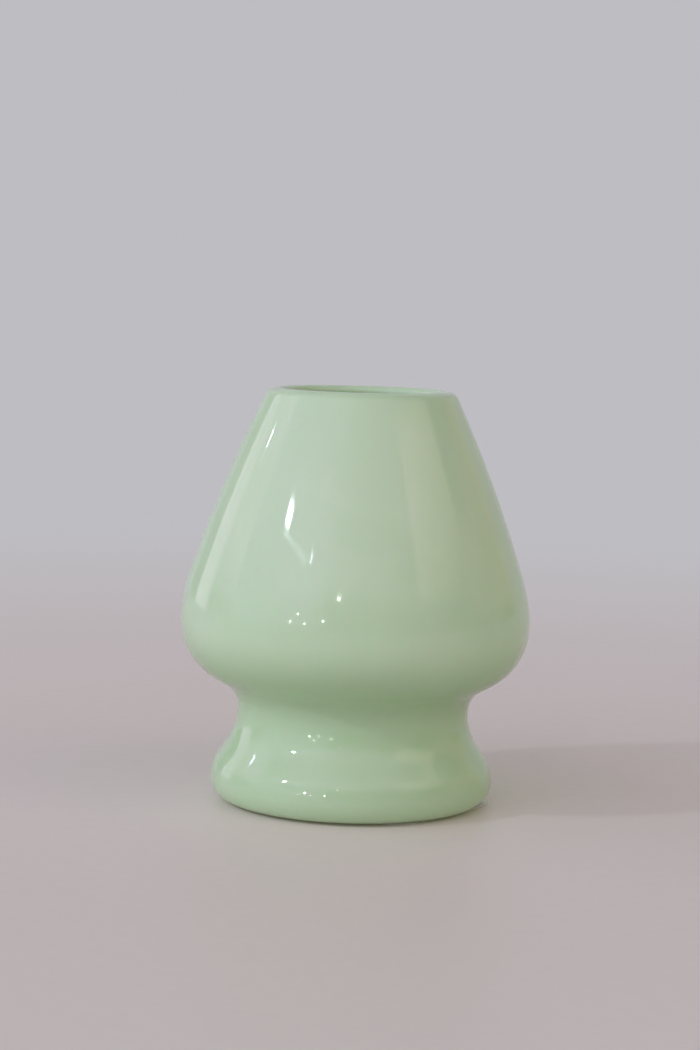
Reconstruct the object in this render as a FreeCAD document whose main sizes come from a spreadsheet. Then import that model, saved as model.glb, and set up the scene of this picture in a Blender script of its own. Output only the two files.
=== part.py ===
import FreeCAD, Part

import math
import os

import Sketcher

# A stand for a bamboo tea whisk: one hollow glass bell on a flared foot, with a clear film under it.
# Frame: +Z up, millimetres, origin on the stand's own axis at the surface that the film rests on.
# +X is to the viewer's right and -Y towards the viewer.
DIMENSIONS = {
    # Heights are above the glass's flat underside, radii are from the axis.
    "glass_height": 70.7,
    "belly_radius": 30.0,
    "belly_level": 30.8,
    "belly_lower_radius": 11.1,
    "belly_upper_radius": 25.3,
    "side_radius": 235.0,
    "crest_radius": 14.7,
    "lip_outer_radius": 2.0,
    "lip_inner_radius": 1.0,
    "waist_radius": 19.9,
    "waist_level": 15.7,
    "waist_fillet": 5.0,
    "flare_radius": 11.0,
    "foot_radius": 24.3,
    "foot_upper_radius": 7.2,
    "foot_edge_radius": 3.7,
    "wall_thickness": 2.8,
    "floor_thickness": 5.0,
    "floor_corner_radius": 4.0,
    # The film lies with its length at film_turn degrees from +X and its middle film_shift off the axis.
    "film_length": 40.4,
    "film_width": 28.0,
    "film_thickness": 0.3,
    "film_corner_radius": 5.0,
    "film_turn": -38.0,
    "film_shift": 2.0,
}
# Where the outline's arcs meet, in degrees. These only start the sketch: its constraints set the true angles.
FLARE_LEAN = 34.0
UNDERSIDE_RISE = 30.0
SIDE_START = 18.0
SIDE_END = 26.0
FLOOR_CORNER_END = 22.0

doc = FreeCAD.newDocument("whisk_stand")


def make_sheet():
    sheet = doc.addObject("Spreadsheet::Sheet", "dims")
    for row, (name, value) in enumerate(DIMENSIONS.items(), start=1):
        sheet.set(f"A{row}", name)
        sheet.set(f"B{row}", str(value))
        sheet.setAlias(f"B{row}", name)
    doc.recompute()
    return sheet


def origin_plane(body, role):
    return next(feature for feature in body.Origin.OriginFeatures if feature.Role == role)


def new_body(name):
    body = doc.addObject("PartDesign::Body", name)
    body.Label = name
    return body


def new_sketch(body, name, plane):
    sketch = body.newObject("Sketcher::SketchObject", name)
    sketch.AttachmentSupport = [(origin_plane(body, plane), "")]
    sketch.MapMode = "FlatFace"
    return sketch


def line(start, end):
    return Part.LineSegment(FreeCAD.Vector(*start, 0), FreeCAD.Vector(*end, 0))


def arc(centre, radius, start, end):
    """An arc from start to end degrees, anticlockwise."""
    circle = Part.Circle(FreeCAD.Vector(*centre, 0), FreeCAD.Vector(0, 0, 1), radius)
    return Part.ArcOfCircle(circle, math.radians(start), math.radians(end))


def on_circle(centre, radius, angle):
    turn = math.radians(angle)
    return centre[0] + radius * math.cos(turn), centre[1] + radius * math.sin(turn)


def section_outline(d):
    """The half section of the glass, in order round it: up the outside, over the lip and down the cavity."""
    wall = d.wall_thickness
    edge = (d.foot_radius - d.foot_edge_radius, d.foot_edge_radius)
    foot = (d.foot_radius - d.foot_upper_radius, d.foot_edge_radius)
    flare = (d.waist_radius + d.flare_radius, d.waist_level)
    fillet = (d.waist_radius + d.waist_fillet, d.waist_level)
    lower = (d.belly_radius - d.belly_lower_radius, d.belly_level)
    upper = (d.belly_radius - d.belly_upper_radius, d.belly_level)
    beyond = d.side_radius - d.belly_upper_radius
    side = on_circle(upper, -beyond, SIDE_START)
    lip = (d.crest_radius, d.glass_height - d.lip_outer_radius)
    mouth = on_circle(side, d.side_radius - wall - d.lip_inner_radius, SIDE_END)
    inner_lip = (mouth[0], d.glass_height - d.lip_inner_radius)
    corner_radius = d.floor_corner_radius
    floor = d.floor_thickness
    corner = (d.waist_radius - corner_radius, floor + corner_radius)
    crest = (d.crest_radius, d.glass_height)
    underside = (UNDERSIDE_RISE + 90, UNDERSIDE_RISE - 90)
    return {
        "base": line((0, 0), (edge[0], 0)),
        "foot_edge": arc(edge, d.foot_edge_radius, -90, 0),
        "foot_upper": arc(foot, d.foot_upper_radius, 0, FLARE_LEAN),
        "foot_slope": line(
            on_circle(foot, d.foot_upper_radius, FLARE_LEAN),
            on_circle(flare, d.flare_radius, 180 + FLARE_LEAN),
        ),
        "flare": arc(flare, d.flare_radius, 180, 180 + FLARE_LEAN),
        "waist": arc(fillet, d.waist_fillet, underside[0], 180),
        "underside": line(
            on_circle(fillet, d.waist_fillet, underside[0]),
            on_circle(lower, d.belly_lower_radius, underside[1]),
        ),
        "belly_lower": arc(lower, d.belly_lower_radius, underside[1], 0),
        "belly_upper": arc(upper, d.belly_upper_radius, 0, SIDE_START),
        "side": arc(side, d.side_radius, SIDE_START, SIDE_END),
        "lip": arc(lip, d.lip_outer_radius, SIDE_END, 90),
        "crest": line(crest, (inner_lip[0], crest[1])),
        "inner_lip": arc(inner_lip, d.lip_inner_radius, 90, 180 + SIDE_END),
        "inner_side": arc(side, d.side_radius - wall, SIDE_START, SIDE_END),
        "inner_belly_upper": arc(upper, d.belly_upper_radius - wall, 0, SIDE_START),
        "inner_belly_lower": arc(lower, d.belly_lower_radius - wall, underside[1], 0),
        "inner_underside": line(
            on_circle(lower, d.belly_lower_radius - wall, underside[1]),
            on_circle(fillet, d.waist_fillet + wall, underside[0]),
        ),
        "inner_waist": arc(fillet, d.waist_fillet + wall, underside[0], 180),
        "inner_flare": arc(flare, d.flare_radius + wall, 180, 180 + FLOOR_CORNER_END),
        "floor_corner": arc(corner, corner_radius, -90, FLOOR_CORNER_END),
        "floor": line((corner[0], floor), (0, floor)),
        "axis": line((0, floor), (0, 0)),
    }


# Each pair of neighbours in the outline with the ends that meet: 1 is a start and 2 is an end.
SMOOTH_JOINTS = (
    ("base", 2, "foot_edge", 1),
    ("foot_edge", 2, "foot_upper", 1),
    ("foot_upper", 2, "foot_slope", 1),
    ("foot_slope", 2, "flare", 2),
    ("flare", 1, "waist", 2),
    ("waist", 1, "underside", 1),
    ("underside", 2, "belly_lower", 1),
    ("belly_lower", 2, "belly_upper", 1),
    ("belly_upper", 2, "side", 1),
    ("side", 2, "lip", 1),
    ("lip", 2, "crest", 1),
    ("crest", 2, "inner_lip", 1),
    ("inner_lip", 2, "inner_side", 2),
    ("inner_side", 1, "inner_belly_upper", 2),
    ("inner_belly_upper", 1, "inner_belly_lower", 2),
    ("inner_belly_lower", 1, "inner_underside", 1),
    ("inner_underside", 2, "inner_waist", 1),
    ("inner_waist", 2, "inner_flare", 1),
    ("inner_flare", 2, "floor_corner", 2),
    ("floor_corner", 1, "floor", 1),
)
# The cavity's arcs share their centres with the outside's, so the wall is even.
SHARED_CENTRES = ("side", "belly_upper", "belly_lower", "waist", "flare")
RADII = {
    "foot_edge": "foot_edge_radius",
    "foot_upper": "foot_upper_radius",
    "flare": "flare_radius",
    "waist": "waist_fillet",
    "belly_lower": "belly_lower_radius",
    "belly_upper": "belly_upper_radius",
    "side": "side_radius",
    "lip": "lip_outer_radius",
    "inner_lip": "lip_inner_radius",
    "floor_corner": "floor_corner_radius",
}
# Points at stated places: (curve, its end, across or up, the cells that say how far from the origin).
PLACES = (
    ("foot_edge", 2, "DistanceX", "dims.foot_radius"),
    ("flare", 1, "DistanceX", "dims.waist_radius"),
    ("flare", 1, "DistanceY", "dims.waist_level"),
    ("belly_lower", 2, "DistanceX", "dims.belly_radius"),
    ("belly_lower", 2, "DistanceY", "dims.belly_level"),
    ("lip", 2, "DistanceX", "dims.crest_radius"),
    ("lip", 2, "DistanceY", "dims.glass_height"),
    ("inner_belly_upper", 1, "DistanceX", "dims.belly_radius - dims.wall_thickness"),
    ("floor", 2, "DistanceY", "dims.floor_thickness"),
)
CENTRE, ORIGIN, VERTICAL_AXIS = 3, -1, -2


def bind(sketch, constraint, name, expression):
    """Adds a dimension whose value is the expression's, not the one it is made with."""
    index = sketch.addConstraint(constraint)
    sketch.renameConstraint(index, name)
    sketch.setExpression(f"Constraints.{name}", expression)


def constrain_section(sketch, place):
    rule = Sketcher.Constraint
    sketch.addConstraint(rule("Coincident", place["base"], 1, ORIGIN, 1))
    sketch.addConstraint(rule("Coincident", place["floor"], 2, place["axis"], 1))
    sketch.addConstraint(rule("Coincident", place["axis"], 2, place["base"], 1))
    sketch.addConstraint(rule("PointOnObject", place["floor"], 2, VERTICAL_AXIS))
    for name in ("base", "crest", "floor"):
        sketch.addConstraint(rule("Horizontal", place[name]))
    for first, first_end, second, second_end in SMOOTH_JOINTS:
        sketch.addConstraint(rule("Tangent", place[first], first_end, place[second], second_end))
    for name, end in (("foot_edge", 2), ("flare", 1), ("belly_lower", 2)):
        sketch.addConstraint(rule("Horizontal", place[name], CENTRE, place[name], end))
    for name in SHARED_CENTRES:
        inner = place["inner_" + name]
        sketch.addConstraint(rule("Coincident", inner, CENTRE, place[name], CENTRE))
    sketch.addConstraint(rule("Parallel", place["inner_underside"], place["underside"]))
    for name, cell in RADII.items():
        radius = sketch.Geometry[place[name]].Radius
        bind(sketch, rule("Radius", place[name], radius), f"{name}_radius", f"dims.{cell}")
    for name, end, direction, expression in PLACES:
        point = sketch.getPoint(place[name], end)
        value = point.x if direction == "DistanceX" else point.y
        dimension = rule(direction, ORIGIN, 1, place[name], end, value)
        bind(sketch, dimension, f"{name}_{direction[-1].lower()}", expression)


def make_glass_body(d):
    body = new_body("glass_body")
    sketch = new_sketch(body, "wall_section", "XZ_Plane")
    place = {name: sketch.addGeometry(shape) for name, shape in section_outline(d).items()}
    constrain_section(sketch, place)
    doc.recompute()
    spin = body.newObject("PartDesign::Revolution", "blown_shape")
    spin.Profile = sketch
    spin.ReferenceAxis = (sketch, ["V_Axis"])
    spin.Angle = 360
    body.Tip = spin
    body.setExpression("Placement.Base.z", "dims.film_thickness")
    return body, sketch


def make_base_film(d):
    body = new_body("clear_base_film")
    sketch = new_sketch(body, "film_outline", "XY_Plane")
    long, wide = d.film_length / 2, d.film_width / 2
    corners = [(-long, -wide), (long, -wide), (long, wide), (-long, wide)]
    sides = [sketch.addGeometry(line(corners[i], corners[(i + 1) % 4])) for i in range(4)]
    rule = Sketcher.Constraint
    for i in range(4):
        sketch.addConstraint(rule("Coincident", sides[i], 2, sides[(i + 1) % 4], 1))
        sketch.addConstraint(rule("Horizontal" if i % 2 == 0 else "Vertical", sides[i]))
    sketch.addConstraint(rule("Symmetric", sides[0], 1, sides[1], 2, ORIGIN, 1))
    bind(sketch, rule("DistanceX", sides[0], 1, sides[0], 2, 2 * long), "length", "dims.film_length")
    bind(sketch, rule("DistanceY", sides[1], 1, sides[1], 2, 2 * wide), "width", "dims.film_width")
    doc.recompute()
    pad = body.newObject("PartDesign::Pad", "film_sheet")
    pad.Profile = sketch
    pad.setExpression("Length", "dims.film_thickness")
    doc.recompute()
    upright = [
        f"Edge{number}"
        for number, edge in enumerate(pad.Shape.Edges, start=1)
        if abs(edge.tangentAt(edge.FirstParameter).z) > 0.99
    ]
    corners_cut = body.newObject("PartDesign::Fillet", "film_corners")
    corners_cut.Base = (pad, upright)
    corners_cut.setExpression("Radius", "dims.film_corner_radius")
    body.Tip = corners_cut
    # The shift is square to the film's length, towards its left.
    body.Placement.Rotation = FreeCAD.Rotation(FreeCAD.Vector(0, 0, 1), 0)
    body.setExpression("Placement.Rotation.Angle", "dims.film_turn")
    body.setExpression("Placement.Base.x", "-dims.film_shift * sin(dims.film_turn)")
    body.setExpression("Placement.Base.y", "dims.film_shift * cos(dims.film_turn)")
    return body, sketch


def check(pieces, sketches):
    for thing in doc.Objects:
        if "Invalid" in thing.State or "Error" in thing.State:
            raise RuntimeError(f"{thing.Name} failed: {thing.State}")
    for sketch in sketches:
        if sketch.solve() != 0 or not sketch.FullyConstrained:
            raise RuntimeError(f"{sketch.Name} isn't fully constrained")
    for piece in pieces:
        if piece.Shape.isNull() or not piece.Shape.isValid() or len(piece.Shape.Solids) != 1:
            raise RuntimeError(f"{piece.Label} isn't one valid solid")


def main():
    sheet = make_sheet()
    made = [make_glass_body(sheet), make_base_film(sheet)]
    doc.recompute()
    pieces = [piece for piece, _ in made]
    check(pieces, [sketch for _, sketch in made])
    os.makedirs("parts", exist_ok=True)
    for piece in pieces:
        piece.Shape.exportStep(f"parts/{piece.Label}.step")
        size = piece.Shape.BoundBox
        print(f"{piece.Label}: {piece.Shape.Volume:.1f} mm3,", end=" ")
        print(f"{size.XLength:.2f} x {size.YLength:.2f} x {size.ZLength:.2f} mm, from z {size.ZMin:.2f}")


main()
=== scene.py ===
"""A stand for a bamboo tea whisk in opaque jade-green glass, on its thin clear film, in plain soft light."""

import math

import bmesh
import bpy
from mathutils import Matrix, Vector, noise


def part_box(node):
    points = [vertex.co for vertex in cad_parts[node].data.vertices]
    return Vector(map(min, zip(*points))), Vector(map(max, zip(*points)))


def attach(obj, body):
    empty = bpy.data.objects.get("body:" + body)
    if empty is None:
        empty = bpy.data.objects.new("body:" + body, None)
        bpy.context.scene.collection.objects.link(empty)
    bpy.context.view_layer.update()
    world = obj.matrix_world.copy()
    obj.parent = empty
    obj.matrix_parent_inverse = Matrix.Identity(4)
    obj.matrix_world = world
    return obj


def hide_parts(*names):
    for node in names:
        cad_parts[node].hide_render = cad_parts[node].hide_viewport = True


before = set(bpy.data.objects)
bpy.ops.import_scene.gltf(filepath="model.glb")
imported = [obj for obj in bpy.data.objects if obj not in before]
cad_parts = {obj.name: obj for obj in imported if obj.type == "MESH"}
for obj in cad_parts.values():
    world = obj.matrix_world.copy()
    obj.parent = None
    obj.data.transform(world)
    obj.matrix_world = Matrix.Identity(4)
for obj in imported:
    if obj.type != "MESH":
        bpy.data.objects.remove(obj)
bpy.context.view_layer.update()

MM = 0.001
TINY = 1e-6

# The outline of the glass, in millimetres from its axis and above its flat underside.
BELLY_RADIUS, BELLY_LEVEL = 30.0, 30.8
BELLY_LOWER_RADIUS, BELLY_UPPER_RADIUS = 11.1, 25.3
SIDE_RADIUS = 235.0
CREST_RADIUS = 14.7
LIP_OUTER_RADIUS, LIP_INNER_RADIUS = 2.0, 1.0
WAIST_RADIUS, WAIST_LEVEL, WAIST_FILLET = 19.9, 15.7, 5.0
FLARE_RADIUS = 11.0
FOOT_RADIUS, FOOT_UPPER_RADIUS, FOOT_EDGE_RADIUS = 24.3, 7.2, 3.7
WALL = 2.8
FLOOR_THICKNESS, FLOOR_CORNER = 5.0, 4.0

# The film under the glass, in millimetres, with its length at FILM_TURN from +X and its middle off the axis.
FILM_LENGTH, FILM_WIDTH, FILM_CORNER = 40.4, 28.0, 5.0
FILM_TURN, FILM_SHIFT = math.radians(-38), 2.0

glass_low, glass_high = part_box("glass_body")
GLASS_HEIGHT = (glass_high.z - glass_low.z) / MM
film_low, film_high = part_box("clear_base_film")


# ---------------------------------------------------------------- outline

def polar(centre, radius, angle):
    return centre[0] + radius * math.cos(angle), centre[1] + radius * math.sin(angle)


# The longest turn and the longest step, in millimetres, between neighbouring points of an arc.
ARC_TURN, ARC_STEP = math.radians(4.5), 1.2


def arc_points(centre, radius, start, end):
    """Points along an arc, a small turn and a small step apart, without its last one."""
    turn = abs(end - start)
    count = max(3, math.ceil(turn / ARC_TURN), math.ceil(turn * radius / ARC_STEP))
    return [polar(centre, radius, start + (end - start) * i / count) for i in range(count)]


def crossing_tangent(first, first_radius, second, second_radius, side):
    """The heading of the line that touches two circles on opposite sides, from the first to the second."""
    across, up = second[0] - first[0], second[1] - first[1]
    return math.atan2(up, across) + side * math.asin((first_radius + second_radius) / math.hypot(across, up))


def side_arc(upper):
    """The centre of the long side arc and the angles where it leaves the belly and meets the lip."""
    beyond = SIDE_RADIUS - BELLY_UPPER_RADIUS
    lip = (CREST_RADIUS, GLASS_HEIGHT - LIP_OUTER_RADIUS)
    reach = SIDE_RADIUS - LIP_OUTER_RADIUS
    apart = math.hypot(lip[0] - upper[0], lip[1] - upper[1])
    bearing = math.atan2(lip[1] - upper[1], lip[0] - upper[0])
    turn = math.acos((beyond**2 + apart**2 - reach**2) / (2 * beyond * apart))
    centre = polar(upper, beyond, bearing + turn)
    start = math.atan2(upper[1] - centre[1], upper[0] - centre[0])
    end = math.atan2(lip[1] - centre[1], lip[0] - centre[0])
    return centre, start, end


# The rings from the axis to the rim of the underside, and of the cavity's floor.
FLAT_STEPS = 8


def glass_outline():
    """The half section, from the middle of the underside round the outside and down the cavity to its floor."""
    quarter = math.pi / 2
    edge = (FOOT_RADIUS - FOOT_EDGE_RADIUS, FOOT_EDGE_RADIUS)
    foot = (FOOT_RADIUS - FOOT_UPPER_RADIUS, FOOT_EDGE_RADIUS)
    flare = (WAIST_RADIUS + FLARE_RADIUS, WAIST_LEVEL)
    fillet = (WAIST_RADIUS + WAIST_FILLET, WAIST_LEVEL)
    lower = (BELLY_RADIUS - BELLY_LOWER_RADIUS, BELLY_LEVEL)
    upper = (BELLY_RADIUS - BELLY_UPPER_RADIUS, BELLY_LEVEL)
    lean = crossing_tangent(foot, FOOT_UPPER_RADIUS, flare, FLARE_RADIUS, 1) - quarter
    rise = crossing_tangent(fillet, WAIST_FILLET, lower, BELLY_LOWER_RADIUS, -1)
    side, side_start, side_end = side_arc(upper)
    lip = (CREST_RADIUS, GLASS_HEIGHT - LIP_OUTER_RADIUS)
    inner_level = GLASS_HEIGHT - LIP_INNER_RADIUS
    inner_reach = SIDE_RADIUS - WALL + LIP_INNER_RADIUS
    inner_across = math.sqrt(inner_reach**2 - (inner_level - side[1]) ** 2)
    inner_lip = (side[0] + inner_across, inner_level)
    inner_end = math.atan2(inner_lip[1] - side[1], inner_lip[0] - side[0])
    corner_level = FLOOR_THICKNESS + FLOOR_CORNER
    corner_reach = FLARE_RADIUS + WALL + FLOOR_CORNER
    corner = (flare[0] - math.sqrt(corner_reach**2 - (WAIST_LEVEL - corner_level) ** 2), corner_level)
    corner_end = math.atan2(flare[1] - corner[1], flare[0] - corner[0])
    pi = math.pi
    points = [(edge[0] * i / FLAT_STEPS, 0.0) for i in range(FLAT_STEPS)]
    points += arc_points(edge, FOOT_EDGE_RADIUS, -quarter, 0)
    points += arc_points(foot, FOOT_UPPER_RADIUS, 0, lean)
    points += arc_points(flare, FLARE_RADIUS, pi + lean, pi)
    points += arc_points(fillet, WAIST_FILLET, pi, rise + quarter)
    points += arc_points(lower, BELLY_LOWER_RADIUS, rise - quarter, 0)
    points += arc_points(upper, BELLY_UPPER_RADIUS, 0, side_start)
    points += arc_points(side, SIDE_RADIUS, side_start, side_end)
    points += arc_points(lip, LIP_OUTER_RADIUS, side_end, quarter)
    points += arc_points(inner_lip, LIP_INNER_RADIUS, quarter, pi + inner_end)
    points += arc_points(side, SIDE_RADIUS - WALL, inner_end, side_start)
    points += arc_points(upper, BELLY_UPPER_RADIUS - WALL, side_start, 0)
    points += arc_points(lower, BELLY_LOWER_RADIUS - WALL, 0, rise - quarter)
    points += arc_points(fillet, WAIST_FILLET + WALL, rise + quarter, pi)
    points += arc_points(flare, FLARE_RADIUS + WALL, pi, pi + corner_end)
    points += arc_points(corner, FLOOR_CORNER, corner_end, -quarter)
    points += [(corner[0] * (1 - i / FLAT_STEPS), FLOOR_THICKNESS) for i in range(FLAT_STEPS + 1)]
    return points


# ---------------------------------------------------------------- meshes

def new_piece(name, bm, material, body, stands_for):
    mesh = bpy.data.meshes.new(name)
    bm.to_mesh(mesh)
    bm.free()
    piece = bpy.data.objects.new(name, mesh)
    bpy.context.scene.collection.objects.link(piece)
    mesh.materials.append(material)
    mesh.shade_smooth()
    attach(piece, body)
    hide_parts(stands_for)
    return piece


# How many vertices go round each ring of the glass.
AROUND = 240
# How far the blown wall wanders inwards from the true outline, and the height it takes to start, in millimetres.
WANDER, WANDER_RISE = 0.10, 4


def wander(angle, level):
    """An inward shift of the wall, from 0 to WANDER, that changes slowly round and up the bell."""
    place = Vector((1.3 * math.cos(angle), 1.3 * math.sin(angle), level / 26))
    slow = noise.noise(place)
    place = Vector((3.1 * math.cos(angle), 3.1 * math.sin(angle), level / 60 + 7))
    return WANDER * min(1.0, max(0.0, 0.5 + 0.55 * slow + 0.25 * noise.noise(place)))


def bridge(bm, below, above):
    """Faces between two closed rings of vertices, either of which may be a single point."""
    count = max(len(below), len(above))
    for i in range(count):
        j = (i + 1) % count
        if len(below) == 1:
            bm.faces.new((below[0], above[j], above[i]))
        elif len(above) == 1:
            bm.faces.new((below[i], below[j], above[0]))
        else:
            bm.faces.new((below[i], below[j], above[j], above[i]))


def make_glass(material):
    bm = bmesh.new()
    base = glass_low.z / MM
    rings = []
    for radius, level in glass_outline():
        z = (level + base) * MM
        if radius < TINY:
            rings.append([bm.verts.new((0, 0, z))])
            continue
        ring = []
        for i in range(AROUND):
            angle = 2 * math.pi * i / AROUND
            r = (radius - wander(angle, level) * min(1.0, level / WANDER_RISE)) * MM
            ring.append(bm.verts.new((r * math.cos(angle), r * math.sin(angle), z)))
        rings.append(ring)
    for below, above in zip(rings, rings[1:]):
        bridge(bm, below, above)
    bmesh.ops.recalc_face_normals(bm, faces=bm.faces)
    return new_piece("jade_glass_bell", bm, material, "root", "glass_body")


# The steps round each corner of the film, the longest step along its straight sides and how far its edge is
# softened, in millimetres, and where its flat faces are divided, as parts of the whole.
FILM_STEPS, FILM_STEP = 12, 1.5
SOFT = 0.06
FILM_RINGS = (0.3, 0.6, 0.85)
# The part of the film that pokes out past the glass curls up from this radius, by this much a millimetre squared.
CURL_START, CURL = 20.8, 0.03


def film_outline(inset):
    """The film's outline in its own plane, drawn in by inset millimetres."""
    reach, half = FILM_LENGTH / 2 - FILM_CORNER, FILM_WIDTH / 2 - FILM_CORNER
    points = []
    for corner, (x, y) in enumerate(((reach, half), (-reach, half), (-reach, -half), (reach, -half))):
        for step in range(FILM_STEPS + 1):
            angle = (corner + step / FILM_STEPS) * math.pi / 2
            radius = FILM_CORNER - inset
            points.append((x + radius * math.cos(angle), y + radius * math.sin(angle)))
    # The straight sides are divided too, so that they can bend.
    fine = []
    for (x, y), (far_x, far_y) in zip(points, points[1:] + points[:1]):
        count = max(1, math.ceil(math.hypot(far_x - x, far_y - y) / FILM_STEP))
        fine += [(x + (far_x - x) * i / count, y + (far_y - y) * i / count) for i in range(count)]
    return fine


def make_film(material):
    bm = bmesh.new()
    cos, sin = math.cos(FILM_TURN), math.sin(FILM_TURN)
    thickness = (film_high.z - film_low.z) / MM

    def ring(shrink, inset, level):
        verts = []
        for along, across in film_outline(inset):
            along, across = along * shrink, across * shrink + FILM_SHIFT
            x, y = along * cos - across * sin, along * sin + across * cos
            lift = CURL * max(0.0, math.hypot(x, y) - CURL_START) ** 2
            verts.append(bm.verts.new((x * MM, y * MM, (level + lift) * MM + film_low.z)))
        return verts

    part = 0.3 * SOFT
    rings = [ring(shrink, SOFT, 0) for shrink in FILM_RINGS]
    rings += [ring(1, SOFT, 0), ring(1, part, part), ring(1, 0, SOFT)]
    rings += [ring(1, 0, thickness - SOFT), ring(1, part, thickness - part), ring(1, SOFT, thickness)]
    rings += [ring(shrink, SOFT, thickness) for shrink in reversed(FILM_RINGS)]
    bm.faces.new(rings[0])
    bm.faces.new(rings[-1])
    for below, above in zip(rings, rings[1:]):
        bridge(bm, below, above)
    bmesh.ops.recalc_face_normals(bm, faces=bm.faces)
    return new_piece("clear_film_sheet", bm, material, "root", "clear_base_film")


# ---------------------------------------------------------------- materials

class Nodes:
    """Short names for adding and linking the nodes of one tree."""

    def __init__(self, tree):
        self.tree = tree
        tree.nodes.clear()

    def add(self, kind, inputs=(), **values):
        """A new node. Each input is a constant, or the output of another node."""
        node = self.tree.nodes.new("ShaderNode" + kind)
        for name, value in values.items():
            setattr(node, name, value)
        for name, value in dict(inputs).items():
            if isinstance(value, bpy.types.NodeSocket):
                self.tree.links.new(value, node.inputs[name])
            else:
                node.inputs[name].default_value = value
        return node

    def math(self, operation, *values):
        return self.add("Math", dict(enumerate(values)), operation=operation).outputs[0]

    def smooth(self, value, start, end, low=0.0, high=1.0):
        """Low where the value is at start, high at end, and smoothly between."""
        inputs = {"Value": value, "From Min": start, "From Max": end, "To Min": low, "To Max": high}
        return self.add("MapRange", inputs, interpolation_type="SMOOTHSTEP").outputs["Result"]

    def noise(self, place, scale, detail=2.0, distortion=0.0):
        inputs = {"Vector": place, "Scale": scale, "Detail": detail, "Distortion": distortion}
        return self.add("TexNoise", inputs).outputs["Fac"]

    def mix(self, factor, first, second):
        inputs = {"Factor": factor, "A": first, "B": second}
        node = self.add("Mix", data_type="RGBA")
        for socket in node.inputs:
            if socket.enabled and socket.name in inputs:
                value = inputs[socket.name]
                if isinstance(value, bpy.types.NodeSocket):
                    self.tree.links.new(value, socket)
                else:
                    socket.default_value = value
        return next(socket for socket in node.outputs if socket.enabled)


def new_material(name):
    material = bpy.data.materials.new(name)
    material.use_nodes = True
    return material, Nodes(material.node_tree)


def finish_material(n, shader):
    n.add("OutputMaterial", {"Surface": shader})


JADE = (0.59, 0.78, 0.53, 1)
JADE_MILKY = (0.66, 0.82, 0.60, 1)
# The colour of the painted shade under the belly and over the waist and foot, partly also the deeper tone of
# thicker glass.
JADE_DEEP_AND_SHADED = (0.46, 0.66, 0.40, 1)


def jade_glass():
    material, n = new_material("jade_glass")
    place = n.add("TexCoord").outputs["Object"]
    height = n.add("SeparateXYZ", {"Vector": place}).outputs["Z"]
    # Milkier clouds stirred through the glass, and long faint streaks where it was drawn up.
    cloud = n.smooth(n.noise(place, scale=38, detail=3, distortion=1.2), 0.38, 0.68)
    drawn = n.add("Mapping", {"Vector": place, "Scale": (1, 1, 0.09)}).outputs["Vector"]
    streak = n.smooth(n.noise(drawn, scale=240, distortion=0.4), 0.52, 0.74)
    colour = n.mix(n.math("MULTIPLY", cloud, 0.35), JADE, JADE_MILKY)
    colour = n.mix(n.math("MULTIPLY", streak, 0.18), colour, JADE_MILKY)
    # Painted shade: the colour darkens under the belly and over the waist and foot, as the shade there would, and
    # partly stands for the deeper tone of the thicker glass.
    below_belly = n.smooth(height, 0.031, 0.022)
    above_foot = n.smooth(height, 0.012, 0.024, low=0.5, high=0.95)
    deep_and_shaded = n.math("MULTIPLY", below_belly, above_foot)
    colour = n.mix(deep_and_shaded, colour, JADE_DEEP_AND_SHADED)
    smears = n.noise(place, scale=95, detail=4, distortion=0.8)
    ripple = n.noise(place, scale=130, detail=1)
    bump = n.add("Bump", {"Height": ripple, "Strength": 0.25, "Distance": 0.00008}).outputs["Normal"]
    inputs = {
        "Base Color": colour,
        "Roughness": n.smooth(smears, 0.42, 0.75, low=0.035, high=0.085),
        "IOR": 1.52,
        "Subsurface Weight": 0.6,
        "Subsurface Radius": (0.8, 1.4, 0.7),
        "Subsurface Scale": 0.0009,
        "Normal": bump,
    }
    finish_material(n, n.add("BsdfPrincipled", inputs).outputs["BSDF"])
    return material


def clear_film():
    material, n = new_material("clear_film")
    place = n.add("TexCoord").outputs["Object"]
    haze = n.noise(place, scale=160, detail=4, distortion=0.6)
    inputs = {
        "Base Color": n.mix(haze, (0.80, 0.81, 0.78, 1), (0.90, 0.90, 0.87, 1)),
        "Roughness": n.smooth(haze, 0.3, 0.7, low=0.10, high=0.24),
        "IOR": 1.47,
        "Alpha": n.smooth(haze, 0.25, 0.75, low=0.30, high=0.45),
    }
    finish_material(n, n.add("BsdfPrincipled", inputs).outputs["BSDF"])
    return material


BACKDROP = (0.515, 0.509, 0.539, 1)
# The shelf's paint fades into the backdrop between these distances from the stand, in metres.
SHELF_NEAR, SHELF_FAR = 0.06, 0.50


def shelf():
    material, n = new_material("shelf")
    place = n.add("NewGeometry").outputs["Position"]
    away = n.add("VectorMath", {0: place}, operation="LENGTH").outputs["Value"]
    mottle = n.noise(place, scale=9, detail=3)
    grain = n.noise(place, scale=420)
    inputs = {
        "Base Color": n.mix(mottle, (0.76, 0.71, 0.66, 1), (0.79, 0.74, 0.69, 1)),
        "Roughness": n.smooth(grain, 0.3, 0.7, low=0.38, high=0.46),
        # A trace of light of its own keeps the shadow on it pale.
        "Emission Color": (0.030, 0.024, 0.018, 1),
        "Emission Strength": 1.0,
    }
    paint = n.add("BsdfPrincipled", inputs).outputs["BSDF"]
    haze = n.add("Emission", {"Color": BACKDROP}).outputs["Emission"]
    fade = n.smooth(away, SHELF_NEAR, SHELF_FAR)
    finish_material(n, n.add("MixShader", {0: fade, 1: paint, 2: haze}).outputs["Shader"])
    return material


# ---------------------------------------------------------------- stage, camera and lights

FLOOR_RADIUS = 30.0


def make_floor():
    bm = bmesh.new()
    bmesh.ops.create_circle(bm, cap_ends=True, segments=96, radius=FLOOR_RADIUS)
    mesh = bpy.data.meshes.new("floor")
    bm.to_mesh(mesh)
    bm.free()
    floor = bpy.data.objects.new("floor", mesh)
    floor.data.materials.append(shelf())
    bpy.context.scene.collection.objects.link(floor)


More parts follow.
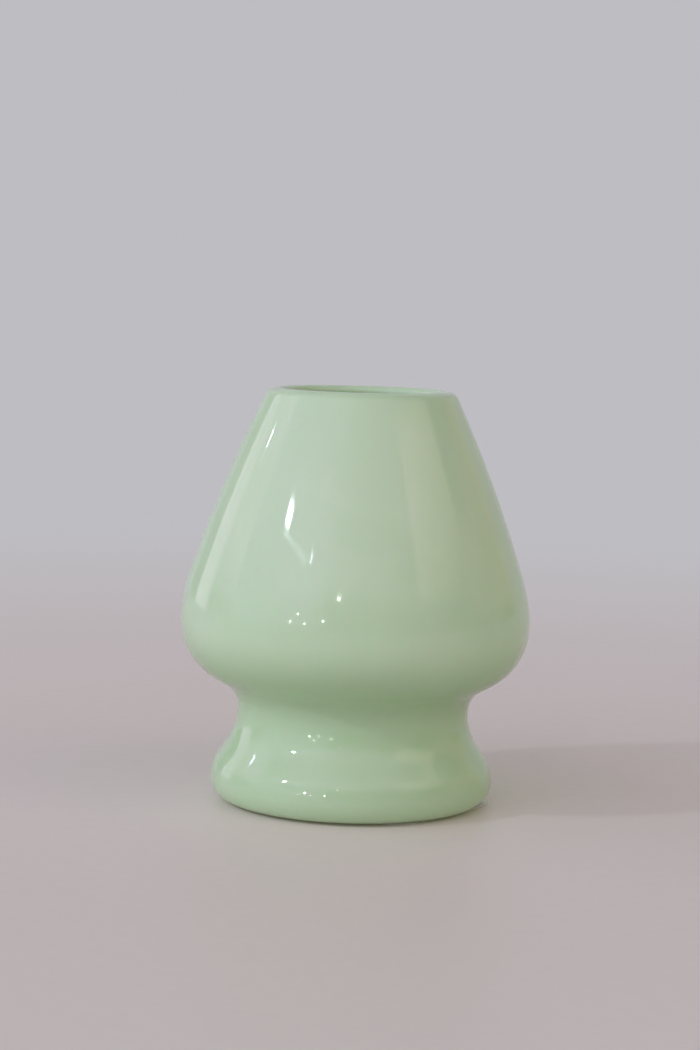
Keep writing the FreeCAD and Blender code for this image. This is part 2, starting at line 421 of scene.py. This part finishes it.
# The camera in metres, and its angles and focal length as measured in an image of IMAGE_HEIGHT pixels.
CAMERA_DISTANCE, CAMERA_HEIGHT = 0.430, 0.0890
CAMERA_PITCH, CAMERA_YAW, CAMERA_ROLL = map(math.radians, (5.486, -0.185, 1.677))
IMAGE_HEIGHT, FOCAL_PIXELS, SENSOR = 1050, 2522, 36


def make_camera():
    camera = bpy.data.objects.new("camera", bpy.data.cameras.new("camera"))
    bpy.context.scene.collection.objects.link(camera)
    bpy.context.scene.camera = camera
    camera.data.sensor_width = SENSOR
    camera.data.lens = FOCAL_PIXELS * SENSOR / IMAGE_HEIGHT
    camera.data.clip_start = 0.01
    forward = Vector((
        math.sin(CAMERA_YAW) * math.cos(CAMERA_PITCH),
        math.cos(CAMERA_YAW) * math.cos(CAMERA_PITCH),
        -math.sin(CAMERA_PITCH),
    ))
    level = Vector((math.cos(CAMERA_YAW), -math.sin(CAMERA_YAW), 0))
    upright = level.cross(forward)
    right = math.cos(CAMERA_ROLL) * level + math.sin(CAMERA_ROLL) * upright
    up = math.cos(CAMERA_ROLL) * upright - math.sin(CAMERA_ROLL) * level
    camera.matrix_world = (
        Matrix.Translation((0, -CAMERA_DISTANCE, CAMERA_HEIGHT))
        @ Matrix((right, up, -forward)).transposed().to_4x4()
    )


# The point that the lamps face, halfway up the stand.
AIM = Vector((0, 0, 0.035))


def towards(azimuth, elevation):
    """A direction, with its azimuth turning from +Y to +X, in degrees."""
    a, e = math.radians(azimuth), math.radians(elevation)
    return Vector((math.sin(a) * math.cos(e), math.cos(a) * math.cos(e), math.sin(e)))


def make_lamp(name, azimuth, elevation, distance, wide, tall, colour, radiance):
    """An area light that faces the stand, with its size in degrees as seen from there. Equal sides mean a disk."""
    lamp = bpy.data.lights.new(name, "AREA")
    lamp.shape = "DISK" if wide == tall else "RECTANGLE"
    lamp.size = 2 * distance * math.tan(math.radians(wide / 2))
    lamp.size_y = 2 * distance * math.tan(math.radians(tall / 2))
    area = math.pi * lamp.size**2 / 4 if wide == tall else lamp.size * lamp.size_y
    lamp.color = colour
    lamp.energy = radiance * math.pi * area
    light = bpy.data.objects.new(name, lamp)
    bpy.context.scene.collection.objects.link(light)
    light.location = AIM + towards(azimuth, elevation) * distance
    light.rotation_euler = (AIM - light.location).to_track_quat("-Z", "Y").to_euler()
    light.visible_camera = False


DAYLIGHT, KEYLIGHT, LAMPLIGHT = (0.68, 0.84, 1.0), (0.82, 0.98, 1.0), (1.0, 0.97, 0.92)
# Name, azimuth, elevation, distance in metres, width and height in degrees, colour, radiance.
LAMPS = (
    ("key_window", -119.0, 30.8, 3.0, 3.2, 1.8, KEYLIGHT, 250),
    ("window_sill", -130, 29.4, 3.0, 20, 0.4, DAYLIGHT, 5),
    ("window_glint", -145, 30, 3.0, 0.4, 1.1, DAYLIGHT, 50),
    ("door_gap", -72.9, 27.0, 0.53, 0.6, 2.0, DAYLIGHT, 60),
    ("lamp_a", -142.5, 12.3, 3.0, 1.2, 1.2, LAMPLIGHT, 200),
    ("lamp_b", -168, 25.4, 3.0, 1.0, 1.0, LAMPLIGHT, 200),
    ("lamp_c", -137.7, 6.6, 3.0, 1.2, 1.2, LAMPLIGHT, 180),
    ("lamp_d", -159.4, 9.1, 3.0, 1.2, 1.2, LAMPLIGHT, 200),
    ("lamp_e", -147.6, 6.1, 3.0, 1.0, 1.0, LAMPLIGHT, 150),
)


# A little light comes from everywhere.
FILL = (0.02, 0.02, 0.02)
# Name, azimuth, half width and blur, elevation, half height and blur, all in degrees, and radiance.
PANELS = (
    ("room", 180, 360, 1, 20, 30, 10, (0.20, 0.25, 0.15)),
    ("ceiling", 180, 360, 1, 75, 22, 8, (0.18, 0.16, 0.20)),
    ("back_wall", 8, 42, 4, 14, 28, 8, (0.29, 0.24, 0.37)),
    ("left_band", -56, 8.5, 1.5, 10, 17, 6, (1.12, 0.92, 1.2)),
    ("left_upper", -77, 12, 3, 26, 12, 8, (0.95, 0.72, 0.95)),
    ("left_front", -122, 34, 10, 16, 18, 8, (0.6, 0.53, 0.84)),
    ("upper_left", -120, 50, 20, 40, 12, 8, (0.3, 0.2, 0.5)),
    ("upper_front", 180, 65, 25, 42, 14, 8, (0.78, 0.56, 0.80)),
    ("right_panel", 112, 22, 2.5, 32, 10, 5, (0.97, 0.74, 0.58)),
    ("right_low", 70, 22, 3, 14, 10, 6, (0.40, 0.22, 0.17)),
)


def make_world():
    """Soft panels of light on all sides, which the camera doesn't see, and the plain backdrop that it does."""
    world = bpy.data.worlds.new("world")
    bpy.context.scene.world = world
    world.use_nodes = True
    n = Nodes(world.node_tree)
    direction = n.add("TexCoord").outputs["Generated"]
    axes = n.add("SeparateXYZ", {"Vector": direction}).outputs
    azimuth = n.math("ARCTAN2", axes["X"], axes["Y"])
    elevation = n.math("ARCSINE", axes["Z"])
    total = FILL
    for _, panel_azimuth, half_width, blur_width, panel_elevation, half_height, blur_height, colour in PANELS:
        aside = n.math("SUBTRACT", azimuth, math.radians(panel_azimuth))
        aside = n.math("ABSOLUTE", n.math("WRAP", aside, math.pi, -math.pi))
        above = n.math("ABSOLUTE", n.math("SUBTRACT", elevation, math.radians(panel_elevation)))
        outer, inner = math.radians(half_width + blur_width), math.radians(half_width - blur_width)
        top, bottom = math.radians(half_height + blur_height), math.radians(half_height - blur_height)
        inside = n.math("MULTIPLY", n.smooth(aside, outer, inner), n.smooth(above, top, bottom))
        total = n.add("VectorMath", {0: inside, 1: colour, 2: total}, operation="MULTIPLY_ADD").outputs["Vector"]
    panels = n.add("Background", {"Color": total}).outputs["Background"]
    backdrop = n.add("Background", {"Color": BACKDROP}).outputs["Background"]
    seen = n.add("LightPath").outputs["Is Camera Ray"]
    n.add("OutputWorld", {"Surface": n.add("MixShader", {0: seen, 1: panels, 2: backdrop}).outputs["Shader"]})


make_camera()
make_floor()
make_world()
for lamp in LAMPS:
    make_lamp(*lamp)
make_glass(jade_glass())
make_film(clear_film())
bpy.context.scene.view_settings.view_transform = "Standard"
